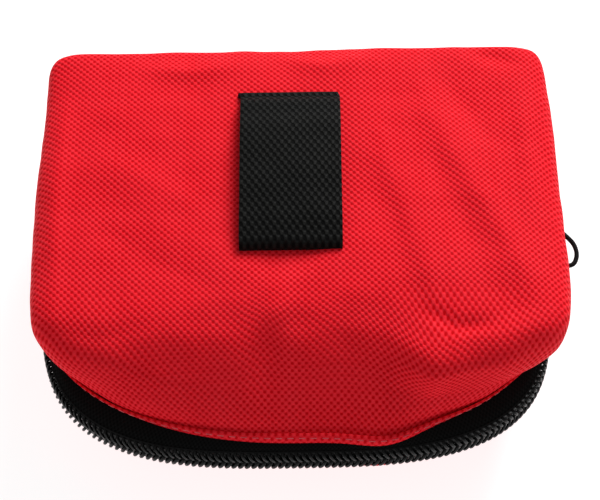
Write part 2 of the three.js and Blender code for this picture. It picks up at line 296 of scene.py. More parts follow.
# zip pull cord: up from the tab's hole, round a loop and back into its knot
pullCord = {
    "diameter": 1.2 * mm,
    "lead": [(62.8, 20, 22), (64.1, 19.7, 22), (65.1, 18.2, 21.8), (65.7, 15.6, 21.3), (66.1, 12.8, 20.8)],
    "knot": (66.5, 10.8, 20.5),
    "loop": [
        (67.6, 9, 20.3), (70.2, 5.8, 20), (70.9, 2.6, 19.9), (70, -0.1, 19.8),
        (68.2, -0.7, 19.9), (66.9, 1.6, 20.1), (66.2, 5.2, 20.3), (66.2, 8.4, 20.4),
    ],
    "knotSize": 0.34 * mm,
}

routePoints = pullCord["lead"] + [pullCord["knot"]] + pullCord["loop"] + [pullCord["knot"]]
cordLine = throughPoints([tuple(v * mm for v in p) for p in routePoints], 64)
cordPiece = curvePiece("pull_cord", cordLine, pullCord["diameter"] / 2)

turns = np.linspace(0, 2 * math.pi, 48, endpoint=False)
trefoil = np.stack([
    np.sin(turns) + 2 * np.sin(2 * turns),
    np.cos(turns) - 2 * np.cos(2 * turns),
    -1.4 * np.sin(3 * turns),
], axis=1)
knotLine = np.array(pullCord["knot"]) * mm + trefoil * pullCord["knotSize"]
knotPiece = toMesh(curvePiece("cord_knot", knotLine, pullCord["diameter"] * 0.45, closed=True))
print("cord is laid")


def newGroup(name, inputs, outputs):
    group = bpy.data.node_groups.new(name, "ShaderNodeTree")
    for label, kind, default in inputs:
        socket = group.interface.new_socket(label, in_out="INPUT", socket_type=kind)
        if default is not None:
            socket.default_value = default
    for label, kind in outputs:
        group.interface.new_socket(label, in_out="OUTPUT", socket_type=kind)
    return group, group.nodes.new("NodeGroupInput"), group.nodes.new("NodeGroupOutput")


def mathNode(tree, operation, first, second=None):
    node = tree.nodes.new("ShaderNodeMath")
    node.operation = operation
    for socket, value in zip(node.inputs, (first, second)):
        if isinstance(value, bpy.types.NodeSocket):
            tree.links.new(value, socket)
        elif value is not None:
            socket.default_value = value
    return node.outputs[0]


def rangeNode(tree, value, low, high, toLow=0.0, toHigh=1.0):
    node = tree.nodes.new("ShaderNodeMapRange")
    node.interpolation_type = "SMOOTHSTEP"
    tree.links.new(value, node.inputs["Value"])
    for label, number in (("From Min", low), ("From Max", high), ("To Min", toLow), ("To Max", toHigh)):
        node.inputs[label].default_value = number
    return node.outputs["Result"]


def noiseNode(tree, vector, scale, detail=2.0):
    node = tree.nodes.new("ShaderNodeTexNoise")
    tree.links.new(vector, node.inputs["Vector"])
    node.inputs["Scale"].default_value = scale
    node.inputs["Detail"].default_value = detail
    return node.outputs["Fac"]


def mixColour(tree, factor, first, second):
    node = tree.nodes.new("ShaderNodeMix")
    node.data_type = "RGBA"
    tree.links.new(factor, node.inputs["Factor"])
    for label, value in (("A", first), ("B", second)):
        socket = [s for s in node.inputs if s.name == label and s.type == "RGBA"][0]
        if isinstance(value, bpy.types.NodeSocket):
            tree.links.new(value, socket)
        else:
            socket.default_value = (*value, 1)
    return [s for s in node.outputs if s.type == "RGBA"][0]


def makeWeaveGroup():  # threads over and under each other, as raised and sunken squares
    sizes = [("Across", "NodeSocketFloat", 0.83 * mm), ("Along", "NodeSocketFloat", 0.83 * mm)]
    group, entry, leave = newGroup(
        "thread weave",
        [("Vector", "NodeSocketVector", None)] + sizes,
        [("Height", "NodeSocketFloat"), ("Hole", "NodeSocketFloat"), ("Tone", "NodeSocketFloat")],
    )
    split = group.nodes.new("ShaderNodeSeparateXYZ")
    group.links.new(entry.outputs["Vector"], split.inputs[0])
    u = mathNode(group, "DIVIDE", split.outputs["X"], entry.outputs["Across"])
    v = mathNode(group, "DIVIDE", split.outputs["Y"], entry.outputs["Along"])
    waves = [mathNode(group, "SINE", mathNode(group, "MULTIPLY", value, math.pi)) for value in (u, v)]
    product = mathNode(group, "MULTIPLY", *waves)
    # Height sets the bump and also the painted highlight on raised threads
    group.links.new(rangeNode(group, product, -0.7, 0.7), leave.inputs["Height"])
    # the sunken squares give the mask for the painted shade between the threads
    sunken = mathNode(group, "MULTIPLY", product, -1.0)
    group.links.new(rangeNode(group, sunken, 0.2, 0.7), leave.inputs["Hole"])
    tones = []
    for value in (u, v):  # each thread has its own shade
        random = group.nodes.new("ShaderNodeTexWhiteNoise")
        random.noise_dimensions = "1D"
        group.links.new(mathNode(group, "FLOOR", value), random.inputs["W"])
        tones.append(random.outputs["Value"])
    group.links.new(mathNode(group, "MULTIPLY", mathNode(group, "ADD", *tones), 0.5), leave.inputs["Tone"])
    return group


def makeWearGroup():  # soft blotches and fine grain, for handling marks and fibre
    group, entry, leave = newGroup(
        "handling wear",
        [("Vector", "NodeSocketVector", None), ("Size", "NodeSocketFloat", 12 * mm)],
        [("Blotch", "NodeSocketFloat"), ("Grain", "NodeSocketFloat")],
    )
    scaled = group.nodes.new("ShaderNodeVectorMath")
    scaled.operation = "SCALE"
    group.links.new(entry.outputs["Vector"], scaled.inputs[0])
    group.links.new(mathNode(group, "DIVIDE", 1.0, entry.outputs["Size"]), scaled.inputs["Scale"])
    blotch = noiseNode(group, scaled.outputs[0], 1.0, 3.0)
    group.links.new(rangeNode(group, blotch, 0.3, 0.7), leave.inputs["Blotch"])
    group.links.new(noiseNode(group, scaled.outputs[0], 40.0, 2.0), leave.inputs["Grain"])
    return group


def makeCrimpGroup():  # fine pressed ridges, as on a heat-sealed edge
    group, entry, leave = newGroup(
        "pressed ridges",
        [("Vector", "NodeSocketVector", None), ("Pitch", "NodeSocketFloat", 0.9 * mm)],
        [("Height", "NodeSocketFloat")],
    )
    split = group.nodes.new("ShaderNodeSeparateXYZ")
    group.links.new(entry.outputs["Vector"], split.inputs[0])
    turn = mathNode(group, "DIVIDE", split.outputs["X"], entry.outputs["Pitch"])
    wave = mathNode(group, "SINE", mathNode(group, "MULTIPLY", turn, 2 * math.pi))
    group.links.new(rangeNode(group, wave, -1.0, 1.0), leave.inputs["Height"])
    return group


weaveGroup = makeWeaveGroup()
wearGroup = makeWearGroup()
crimpGroup = makeCrimpGroup()


def useGroup(tree, group, vector, **values):
    node = tree.nodes.new("ShaderNodeGroup")
    node.node_tree = group
    tree.links.new(vector, node.inputs["Vector"])
    for label, value in values.items():
        node.inputs[label].default_value = value
    return node.outputs


def startMaterial(name, roughness, metallic=0.0, specular=0.5, coat=0.0):
    material = bpy.data.materials.new(name)
    material.use_nodes = True
    tree = material.node_tree
    shader = tree.nodes["Principled BSDF"]
    shader.inputs["Roughness"].default_value = roughness
    shader.inputs["Metallic"].default_value = metallic
    shader.inputs["Specular IOR Level"].default_value = specular
    shader.inputs["Coat Weight"].default_value = coat
    return material, tree, shader, tree.nodes.new("ShaderNodeTexCoord")


def addBump(tree, shader, height, distance, strength=1.0, under=None):
    bump = tree.nodes.new("ShaderNodeBump")
    bump.inputs["Distance"].default_value = distance
    bump.inputs["Strength"].default_value = strength
    tree.links.new(height, bump.inputs["Height"])
    if under:
        tree.links.new(under, bump.inputs["Normal"])
    tree.links.new(bump.outputs["Normal"], shader.inputs["Normal"])
    return bump.outputs["Normal"]


# dark is the painted shade in the holes between threads; light is the painted highlight on raised threads and also
# the colour the wear fades towards
def cloth(name, dark, middle, light, threads, relief, roughness=0.62, specular=0.35):
    material, tree, shader, place = startMaterial(name, roughness, specular=specular)
    weave = useGroup(tree, weaveGroup, place.outputs["UV"], Across=threads[0], Along=threads[1])
    wear = useGroup(tree, wearGroup, place.outputs["Object"])
    # raised threads are painted lighter, a painted highlight
    base = mixColour(tree, weave["Height"], middle, light)
    toned = mixColour(tree, mathNode(tree, "MULTIPLY", weave["Tone"], 0.5), base, middle)
    # the holes between threads are painted dark, a painted shade
    holeShaded = mixColour(tree, weave["Hole"], toned, dark)
    faded = mixColour(tree, mathNode(tree, "MULTIPLY", wear["Blotch"], 0.1), holeShaded, light)
    tree.links.new(faded, shader.inputs["Base Color"])
    rough = rangeNode(tree, weave["Height"], 0.0, 1.0, min(1.0, roughness + 0.15), roughness - 0.05)
    tree.links.new(rough, shader.inputs["Roughness"])
    grain = addBump(tree, shader, wear["Grain"], relief * 0.25, 0.5)
    addBump(tree, shader, weave["Height"], relief, 1.0, under=grain)
    return material


def plain(name, dark, light, roughness, metallic=0.0, relief=0.02 * mm, size=12 * mm, specular=0.5, coat=0.0):
    material, tree, shader, place = startMaterial(name, roughness, metallic, specular, coat)
    wear = useGroup(tree, wearGroup, place.outputs["Object"], Size=size)
    tree.links.new(mixColour(tree, wear["Blotch"], dark, light), shader.inputs["Base Color"])
    rough = rangeNode(tree, wear["Grain"], 0.2, 0.8, max(0.05, roughness - 0.08), roughness + 0.1)
    tree.links.new(rough, shader.inputs["Roughness"])
    addBump(tree, shader, wear["Grain"], relief)
    return material


def pressed(name, dark, light, roughness, pitch, metallic=0.0):
    material, tree, shader, place = startMaterial(name, roughness, metallic)
    wear = useGroup(tree, wearGroup, place.outputs["Object"])
    ridges = useGroup(tree, crimpGroup, place.outputs["UV"], Pitch=pitch)
    tree.links.new(mixColour(tree, wear["Blotch"], dark, light), shader.inputs["Base Color"])
    grain = addBump(tree, shader, wear["Grain"], 0.05 * mm, 0.6)
    addBump(tree, shader, ridges["Height"], 0.06 * mm, 0.5, under=grain)
    return material


coverThreads, webbingThreads = (0.83 * mm, 0.83 * mm), (0.9 * mm, 1.25 * mm)
tapeThreads, gauzeThreads, dressingThreads = (0.35 * mm, 0.5 * mm), (0.6 * mm, 0.6 * mm), (0.4 * mm, 0.4 * mm)


def grey(value):
    return (value,) * 3


black = grey(0.0015)
# each cloth below takes its hole colour, a painted shade, then its middle colour, then its raised-thread colour, a
# painted highlight that the wear also fades towards
redCloth = cloth(
    "red cloth", (0.6, 0.0, 0.003), (0.86, 0.006, 0.015), (1.0, 0.028, 0.045), coverThreads, 0.15 * mm, specular=0.05,
)
redLining = plain("coated red lining", (0.34, 0.01, 0.015), (0.45, 0.014, 0.02), 0.42, relief=0.05 * mm)
redThread = plain("red thread", (0.66, 0.03, 0.05), (0.86, 0.1, 0.12), 0.5)
webbingDark, webbingLight = grey(0.004), (0.014, 0.014, 0.013)
blackWebbing = cloth("black webbing", black, webbingDark, webbingLight, webbingThreads, 0.3 * mm, specular=0.06)
blackTape = cloth("zip tape", black, grey(0.0035), grey(0.006), tapeThreads, 0.04 * mm, 0.75, 0.06)
blackBinding = cloth("black binding", black, webbingDark, webbingLight, tapeThreads, 0.1 * mm, specular=0.1)
blackNylon = plain("black nylon", black, grey(0.004), 0.34, specular=0.14)
blackCord = plain("black cord", grey(0.002), grey(0.006), 0.6, relief=0.1 * mm, size=3 * mm, specular=0.1)
blackEnamel = plain("black enamel", grey(0.006), grey(0.012), 0.28, coat=0.4)
steel = plain("satin steel", (0.45, 0.46, 0.47), (0.6, 0.61, 0.62), 0.3, metallic=1.0, relief=0.01 * mm)
handleRed = plain("handle plastic", (0.36, 0.006, 0.012), (0.44, 0.01, 0.016), 0.3, coat=0.2)
gauzeCloth = cloth("gauze", (0.5, 0.49, 0.45), (0.82, 0.8, 0.74), (0.9, 0.89, 0.85), gauzeThreads, 0.12 * mm, 0.85)
tapeCloth = cloth("tape cloth", (0.62, 0.58, 0.5), (0.8, 0.76, 0.68), (0.86, 0.83, 0.76), dressingThreads, 0.05 * mm)
whitePlastic = plain("white plastic", (0.74, 0.74, 0.72), (0.82, 0.82, 0.8), 0.38)
filmWrap = plain(
    "film over cloth", (0.66, 0.68, 0.68), (0.82, 0.83, 0.82), 0.22, relief=0.2 * mm, size=9 * mm, coat=0.5,
)
gloveFilm = plain(
    "blue glove film", (0.2, 0.38, 0.56), (0.34, 0.53, 0.7), 0.3, relief=0.3 * mm, size=7 * mm, coat=0.4,
)
plasterPaper = pressed("plaster wrapper", (0.74, 0.66, 0.54), (0.84, 0.77, 0.66), 0.55, 1.1 * mm)
sachetFoil = pressed("foil sachet", (0.62, 0.65, 0.68), (0.78, 0.8, 0.82), 0.34, 1.4 * mm, 0.7)
padPaper = pressed("pad wrapper", (0.78, 0.8, 0.79), (0.88, 0.89, 0.88), 0.6, 2.2 * mm)
leafletPaper = plain("leaflet paper", (0.76, 0.75, 0.7), (0.84, 0.83, 0.78), 0.7)
print("materials are mixed")

finishPiece(cordPiece, "pull_cord", "pull", blackCord, ["pull_cord_lead", "pull_cord_loop"])
finishPiece(knotPiece, "cord_knot", "pull", blackCord, ["pull_cord_knot"])

# the pouch: two dished halves that meet at the zip
zipZ = (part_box("front_zip_coil")[0].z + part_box("back_zip_coil")[1].z) / 2
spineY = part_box("back_panel")[1].y
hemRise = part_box("back_panel")[0].z - zipZ
bendY = -10 * mm  # where the straight sides turn into the rounded edge

pouch = {
    "cells": 76,
    "slopeShare": 0.4,  # share of the grid, from its rim inwards, that makes the sloping walls
    # height over the zip, half width, near y and far y in mm, squareness of the near corners, sideways shift in mm
    "back": [
        (5, 61.9, -52.6, 50.0, 2.2, 0.4),
        (10, 63.7, -48.2, 50.2, 2.9, 0.7),
        (15, 64.6, -42.3, 50.5, 4.2, 0.9),
        (19, 63.9, -37.3, 50.7, 6.0, 0.9),
        (21.4, 62.6, -34.2, 50.7, 7.0, 0.8),
        (22.3, 60.4, -32.3, 50.0, 7.5, 0.7),
        (22.6, 57.0, -29.6, 48.0, 8.0, 0.6),
    ],
    "front": [
        (5, 62.0, -52.6, 50.0, 2.2, 0.0),
        (9, 62.3, -50.8, 50.1, 2.2, 0.0),
        (13, 61.8, -48.3, 50.1, 2.2, 0.0),
        (17, 61.2, -46.3, 50.0, 2.2, 0.0),
        (20, 60.2, -43.6, 49.8, 2.3, 0.0),
        (21.6, 57.5, -40.5, 47.8, 2.4, 0.0),
        (22.0, 53.5, -36.5, 44.0, 2.5, 0.0),
    ],
    "farSquareness": 40,
    "farTaper": 0.018,
    "farTilt": 0.012,  # the far edge climbs to the right by this much
    "middle": (0, 8),
    "clothThickness": 0.9 * mm,
    "liningThickness": 0.3 * mm,
    "liningGap": 0.1 * mm,
    "pressure": 1.2,
    "frames": 14,
    "cap": 1.4 * mm,  # no point is blown out further than this
}


def power(value, exponent):
    return np.sign(value) * np.abs(value) ** exponent


def dOutline(halfWidth, near, far, squareness, shift, count):
    # a closed line of four parts, far edge, left side, near edge and right side, with as many points each
    turn = np.linspace(0, 2 * math.pi, 4000, endpoint=False)
    c, s = np.cos(turn), np.sin(turn)
    exponent = np.where(s > 0, 2 / pouch["farSquareness"], 2 / squareness)
    y = bendY + np.where(s > 0, far - bendY, bendY - near) * power(s, exponent)
    narrowing = 1 - pouch["farTaper"] * np.clip((y - bendY) / (spineY - bendY), 0, 1)
    line = np.stack([halfWidth * power(c, exponent) * narrowing + shift, y], axis=1)
    corners = [500, 1500, 2500, 3500, 4500]
    parts = [line[np.arange(a, b + 1) % 4000] for a, b in zip(corners, corners[1:])]
    return np.concatenate([evenly(part, count, False) for part in parts])


def bend(knots, values, where):  # smooth steps between the levels
    slopes = np.gradient(values, knots, axis=0)
    i = np.clip(np.searchsorted(knots, where, side="right") - 1, 0, len(knots) - 2)
    width = knots[i + 1] - knots[i]
    t = (where - knots[i]) / width
    shape = (-1,) + (1,) * (values.ndim - 1)
    t, width = t.reshape(shape), width.reshape(shape)
    a = values[i] * (2 * t**3 - 3 * t**2 + 1) + values[i + 1] * (3 * t**2 - 2 * t**3)
    return a + width * (slopes[i] * (t**3 - 2 * t**2 + t) + slopes[i + 1] * (t**3 - t**2))


def dishPoints(grid, levels):
    # carries a flat square grid onto the dish: its rim to the hem, its middle to the roof
    count = 240
    outlines = np.array([dOutline(*(v * mm for v in row[1:4]), row[4], row[5] * mm, count) for row in levels])
    heights = np.array([row[0] * mm for row in levels])
    nearLine = outlines[:, count * 2 + count // 2]
    climb = np.hypot(np.linalg.norm(np.diff(nearLine, axis=0), axis=1), np.diff(heights))
    knots = np.concatenate([[0], np.cumsum(climb)]) / climb.sum()

    a, b = grid[:, 0], grid[:, 1]
    r = np.maximum(np.abs(a), np.abs(b))
    safe = np.maximum(r, 1e-9)
    p, q = a / safe, b / safe
    around = np.select(
        [q >= 1 - 1e-6, p <= -1 + 1e-6, q <= -1 + 1e-6],
        [(1 - p) / 2, 1 + (1 - q) / 2, 2 + (1 + p) / 2],
        3 + (1 + q) / 2,
    )
    spot = (around % 4) * count
    i = np.floor(spot).astype(int) % (4 * count)
    j = (i + 1) % (4 * count)
    fraction = (spot - np.floor(spot))[:, None]

    slope = pouch["slopeShare"]
    up = np.clip((1 - r) / slope, 0, 1) ** 1.25  # 0 at the hem, 1 at the edge of the roof
    rows = np.arange(len(r))
    level = bend(knots, outlines, up)
    plan = level[rows, i] * (1 - fraction) + level[rows, j] * fraction
    roofEdge = outlines[-1][i] * (1 - fraction) + outlines[-1][j] * fraction
    hemLine = outlines[0][i] * (1 - fraction) + outlines[0][j] * fraction
    middle = np.array([pouch["middle"]]) * mm
    inner = np.clip(r / (1 - slope), 0, 1)[:, None]
    inRoof = (r < 1 - slope)[:, None]
    plan = np.where(inRoof, middle + (roofEdge - middle) * inner, plan)
    # the weave runs on straight, pushed out by the cloth that the slope takes up
    ahead = np.roll(outlines[0], -4, axis=0) - np.roll(outlines[0], 4, axis=0)
    facing = np.column_stack([ahead[:, 1], -ahead[:, 0]]) / np.linalg.norm(ahead, axis=1)[:, None]
    length = np.hypot(np.linalg.norm(hemLine - roofEdge, axis=1), heights[-1] - heights[0])
    spare = np.maximum(length * (1 - up) - np.linalg.norm(plan - roofEdge, axis=1), 0)
    uv = plan + facing[i] * spare[:, None]
    return np.column_stack([plan, bend(knots, heights, up)]), uv


def settleCloth(piece, pinned):  # the panel is blown out a little against its fixed hem
    before = points(piece)
    group = piece.vertex_groups.new(name="hem")
    group.add([int(i) for i in pinned], 1.0, "REPLACE")
    modifier = piece.modifiers.new("cloth", "CLOTH")
    settings = modifier.settings
    settings.quality = 6
    settings.mass = 0.1
    settings.tension_stiffness = settings.compression_stiffness = 20
    settings.shear_stiffness = 8
    settings.bending_stiffness = 0.6
    settings.use_pressure = True
    settings.uniform_pressure_force = pouch["pressure"]
    settings.effector_weights.gravity = 0
    settings.vertex_group_mass = "hem"
    modifier.point_cache.frame_start = 1
    modifier.point_cache.frame_end = pouch["frames"]
    for step in range(1, pouch["frames"] + 1):
        scene.frame_set(step)
    applyAll(piece)
    scene.frame_set(1)
    move = points(piece) - before
    far = np.linalg.norm(move, axis=1)[:, None]
    setPoints(piece, before + move * np.minimum(1, pouch["cap"] / np.maximum(far, 1e-9)))
    piece.vertex_groups.clear()


def nearestOnPath(co, path):  # distance from a plan line, which side of it, and how far along it
    line = np.array(path, dtype=float) * mm
    lengths = np.linalg.norm(np.diff(line, axis=0), axis=1)
    best, sideOf, share = np.full(len(co), 1e9), np.zeros(len(co)), np.zeros(len(co))
    run = 0
    for start, end, length in zip(line, line[1:], lengths):
        along = (end - start) / length
        offset = co[:, :2] - start
        t = np.clip(offset @ along, 0, length)
        distance = np.linalg.norm(offset - t[:, None] * along, axis=1)
        closer = distance < best
        best = np.where(closer, distance, best)
        sideOf = np.where(closer, along[0] * offset[:, 1] - along[1] * offset[:, 0], sideOf)
        share = np.where(closer, (run + t) / lengths.sum(), share)
        run += length
    return best, sideOf, share


def fold(co, normal, path, width, height, spread=None):
    # a ridge, or with a negative height a valley, along a plan line; spread is its width on the line's left
    best, sideOf, share = nearestOnPath(co, path)
    reach = np.where(sideOf > 0, (spread or width), width) * mm
    taper = np.sin(np.pi * np.clip(share * 0.86 + 0.07, 0, 1)) ** 0.7
    return normal * (height * mm * np.exp(-((best / reach) ** 1.6)) * taper)[:, None]


# plan line in mm, width and height in mm, and the width on the left; a positive height is a ridge
backFolds = [
    ([(22, 15), (26, 2), (30, -14), (34, -30)], 3.4, 1.3, 9.0),
    ([(33, 30), (43, 6), (51, -11), (60, -34)], 3.6, 1.1, 7.0),
    ([(32, 20), (40, -4), (47, -24)], 4.0, -0.4, 4.0),
    ([(31, -29), (37, -32.5), (45, -32)], 1.8, -1.3, None),
    ([(24, -36), (32, -42), (44, -41), (53, -37)], 3.0, 0.8, None),
    ([(44, -35), (52, -34), (60, -33)], 2.6, 0.8, 4.0),
    ([(-11, -37), (-7, -31), (-3, -25)], 2.2, 1.0, 3.0),
    ([(-60, -31), (-46, -34), (-34, -31)], 3.4, -1.0, None),
    ([(-44, -38), (-30, -42), (-16, -44)], 3.0, 0.8, None),
    ([(-24, -30), (-10, -33), (6, -30)], 4.0, -0.6, None),
    ([(-57, 34), (-58, 4), (-57, -28)], 2.2, 0.9, None),
    ([(57, 34), (57, 10), (56, 0)], 2.2, 0.9, None),
    ([(-38, 44), (-26, 42), (-15, 44)], 3.0, 0.8, None),
    ([(-2, 46), (8, 43), (18, 46)], 3.0, 1.0, None),
    ([(-50, 18), (-34, 8), (-20, -2)], 5.0, 0.6, None),
    ([(-44, -6), (-30, -16), (-18, -22)], 5.0, -0.6, None),
    ([(38, 40), (44, 28), (50, 18)], 4.0, -0.7, None),
    ([(14, -8), (4, -18), (-8, -24)], 5.0, 0.5, None),
    ([(52, -40), (30, -49), (12, -51)], 2.0, -0.5, None),
    ([(56, 44), (52, 46), (46, 47)], 2.4, -1.0, None),
]
frontFolds = [
    ([(-36, -34), (-44, -24), (-52, -8)], 4.0, 0.5, None),
    ([(30, -38), (44, -30), (54, -18)], 4.0, 0.5, None),
    ([(-20, -44), (0, -46), (22, -44)], 4.0, 0.5, None),
    ([(-57, 20), (-59, 0), (-56, -20)], 3.0, 0.5, None),
    ([(57, 24), (59, 4), (56, -18)], 3.0, 0.5, None),
]
# x, how far the near edge stands out there, and over what reach, in mm
hemPull = [(21, 2.6, 9), (54, -1.3, 8)]
roofPull = [(32, 6.5, 8), (47, 4.5, 8), (-8, -1.8, 4), (-46, 1.8, 8), (11, -1.5, 6)]


def pullNear(plan, pulls, share):
    moved = np.array(plan)
    for x, out, reach in pulls:
        near = np.exp(-(((moved[:, 0] - x * mm) / (reach * mm)) ** 2)) * (moved[:, 1] < -20 * mm)
        moved[:, 1] -= out * mm * near * share
    return moved


def dressDish(piece, folds, roofPulled, seed):  # heights still count from the zip, upwards
    co = points(piece)
    if roofPulled:
        co[:, :2] = pullNear(co[:, :2], roofPull, ramp(co[:, 2], 12 * mm, 7 * mm) * ramp(-co[:, 1], 22 * mm, 9 * mm))
        setPoints(piece, co)
    normal = normals(piece)
    for path, width, height, spread in folds:
        co = co + fold(co, normal, path, width, height, spread)
    rise = co[:, 2] - hemRise
    away = ramp(rise, 0, 5 * mm)  # the hem stays calmer than the rest
    amount = ripple(co, 17 * mm, 0.6 * mm, seed) + ripple(co, 6.5 * mm, 0.2 * mm, seed + 5)
    co = co + normal * (amount * (0.25 + 0.75 * away))[:, None]
    co[:, 2] += pouch["farTilt"] * co[:, 0] * ramp(co[:, 1], 30 * mm, 20 * mm) * away
    co[:, :2] = pullNear(co[:, :2], hemPull, np.clip(1 - rise / (9 * mm), 0, 1))
    setPoints(piece, co)


def copyOf(piece):
    pick(piece)
    bpy.ops.object.duplicate()
    return bpy.context.object


def setOnZip(piece, turned):  # lifts a half to the zip, and turns the front one over
    co = points(piece)
    co[:, 2] = np.maximum(zipZ - co[:, 2], 0.02 * mm) if turned else co[:, 2] + zipZ
    setPoints(piece, co)
    if turned:
        editAll(piece, bpy.ops.mesh.flip_normals)


def makeHalf(half, body, folds, turned, seed):
    outer, grid = gridPiece(pouch["cells"], pouch["cells"])
    co, uv = dishPoints(grid, pouch[half])
    setPoints(outer, co)
    paintUv(outer, uv)
    settleCloth(outer, np.nonzero(np.abs(grid).max(axis=1) > 1 - 1e-4)[0])
    fine(outer)
    dressDish(outer, folds, not turned, seed)
    lining = copyOf(outer)
    setPoints(lining, points(lining) - normals(lining) * (pouch["clothThickness"] + pouch["liningGap"]))
    wall(lining, pouch["liningThickness"])
    wall(outer, pouch["clothThickness"])
    for piece in (outer, lining):
        setOnZip(piece, turned)
        smoothAll(piece)
    finishPiece(outer, f"{half}_cover", body, redCloth, [f"{half}_panel"])
    finishPiece(lining, f"{half}_lining", body, redLining)


makeHalf("back", "lid", backFolds, False, 3.0)
makeHalf("front", "base", frontFolds, True, 11.0)
print("pouch halves are sewn")

# the zip: its line round the three open sides, tapes, teeth, and the folds at its ends
zipLine = {
    "halfWidth": 61.4, "near": -55.2, "squareness": 3.1, "endY": 41, "farTaper": 0.03,
    "toothPitch": 1.58 * mm, "toothReach": 3.2 * mm, "toothRadius": 0.42 * mm, "toothLean": 24 * degree,
    "toothDepth": 0.8 * mm, "toothSeat": 0.3 * mm, "endRounding": 0.3 * mm,
    "coreInset": 0.7, "coreHeights": (0.15, 1.2, 2.4, 3.5), "coreThickness": 0.8 * mm,
}
# outlines are half width and near y in mm, and heights over the zip are in mm too
zipTape = {
    "footInset": 0.6, "top": (60.1, -50.2), "under": (58.7, -46.9), "squareness": 2.2, "endY": 47,
    "share": (0, 0.25, 0.5, 0.75, 1.0), "bow": (0, 0.25, 0.35, 0.2, 0), "underPull": 0.55, "thickness": 0.5 * mm,
    "footHeight": 3.2, "climb": 2.4, "underHeight": 9, "across": (0, 1, 2, 3, 4, 8),
}
seamTape = {
    "outlines": ((58.4, -49.0), (57.6, -47.8), (56.6, -46.4), (55.6, -45.0)), "squareness": 2.2, "endY": 36,
    "heights": (5.0, 6.2, 7.4, 8.4), "across": (0, 1.2, 2.4, 3.6), "thickness": 0.9 * mm,
}


def zipPath(halfWidth, near, squareness, endY, shift, count):  # from the right end round to the left end
    turn = np.linspace(0, -math.pi, 1500)
    exponent = 2 / squareness
    bendAt = bendY / mm
    arc = np.stack([
        halfWidth * power(np.cos(turn), exponent),
        bendAt + (bendAt - near) * power(np.sin(turn), exponent),
    ], axis=1)
    ends = halfWidth * (1 - zipLine["farTaper"] * (endY - bendAt) / (spineY / mm - bendAt))
    line = np.vstack([[ends, endY], arc, [-ends, endY]]) + np.array([shift, 0])
    return evenly(line * mm, count)


def strip(lines, heights, thickness, turned, uvAcross):
    # a band of cloth between lines that run along the zip, each at its own height over it
    across, along = len(lines) - 1, len(lines[0]) - 1
    piece, grid = gridPiece(across, along)
    i, j = stepOf(grid[:, 0], across), stepOf(grid[:, 1], along)
    lines = np.array(lines)
    run = np.concatenate([[0], np.cumsum(np.linalg.norm(np.diff(lines[0], axis=0), axis=1))])
    setPoints(piece, np.column_stack([lines[i, j], np.array(heights)[i]]))
    paintUv(piece, np.column_stack([np.array(uvAcross)[i], run[j]]))
    wall(piece, thickness, 0)
    outwards(piece)
    setOnZip(piece, turned)
    smoothAll(piece)
    return piece


hem = {
    "steps": [(4.9, 0.1), (5.15, 0.5), (6.0, 0.62), (6.8, 0.5)],  # height over the zip and how far out, in mm
    "across": (0, 0.5, 1.4, 2.3), "thickness": 0.5 * mm,
    "stitchAt": (6.1, 0.85), "stitch": 1.5 * mm, "stitchPitch": 2.7 * mm, "thread": 0.17 * mm, "rounding": 0.06 * mm,
}


def hemPath(half, height, out, count):  # round the open sides, out from the cover at that height
    rows = np.array(pouch[half])
    wide, near, squareness, shift = (np.interp(height, rows[:, 0], rows[:, k]) for k in (1, 2, 4, 5))
    line = zipPath(wide + out, near - out, squareness, 40, shift, count)
    return pullNear(line, hemPull, np.clip(1.55 - height / 9, 0, 1))


def makeHem(half, body, turned):  # the cover's edge is turned over and stitched down
    lines = [hemPath(half, height, out, 240) for height, out in hem["steps"]]
    heights = [height * mm for height, _ in hem["steps"]]
    edge = strip(lines, heights, hem["thickness"], turned, np.array(hem["across"]) * mm)
    finishPiece(edge, f"{half}_hem", body, redCloth)
    height, out = hem["stitchAt"]
    line = hemPath(half, height, out, 2000)
    centres = evenly(line, int(lengthOf(line) / hem["stitchPitch"]))
    deselect()
    bpy.ops.mesh.primitive_cylinder_add(
        vertices=6, radius=hem["thread"], depth=hem["stitch"], rotation=(0, 90 * degree, 0),
    )
    stitch = settlePlace(bpy.context.object)
    editAll(stitch, lambda: bpy.ops.mesh.bevel(offset=hem["rounding"], segments=1, affect="EDGES"))
    stitches = copiesAlong(stitch, centres[1:-1], centres[2:] - centres[:-2], height=height * mm)
    seam = join(f"{half}_hem_stitches", stitches)
    setOnZip(seam, turned)
    finishPiece(smooth(seam, 60), f"{half}_hem_stitches", body, redThread)


def makeTape(half, body, turned):
    z, t, count = zipLine, zipTape, 200
    foot = t["footInset"]
    low = zipPath(z["halfWidth"] - foot, z["near"] + foot, z["squareness"], t["endY"], 0, count)
    top, under = (
        pullNear(zipPath(*t[place], t["squareness"], t["endY"], pouch[half][0][5], count), hemPull, pull)
        for place, pull in (("top", 1), ("under", t["underPull"]))
    )
    lines = [low * (1 - s) + top * s for s in t["share"]] + [under]
    heights = [t["footHeight"] + t["climb"] * s + b for s, b in zip(t["share"], t["bow"])] + [t["underHeight"]]
    tape = strip(lines, np.array(heights) * mm, t["thickness"], turned, np.array(t["across"]) * mm)
    finishPiece(tape, f"{half}_zip_tape_cloth", body, blackTape, [f"{half}_zip_tape"])


def modelTooth():  # one turn of the coil: it leaves the tape, rounds the middle and comes back
    z = zipLine
    reach, depth = z["toothReach"], z["toothDepth"]
    lean = math.tan(z["toothLean"])
    side = [
        (0, reach), (0.55 * depth, reach * 0.96), (0.95 * depth, reach * 0.7), (depth, reach * 0.4),
        (0.75 * depth, 0.42 * mm), (0.2 * depth, 0.1 * mm),
    ]
    line = throughPoints([(h * lean, out, h) for out, h in side], 9)
    return smooth(toMesh(curvePiece("tooth", line, z["toothRadius"], rounds=1)), 60)


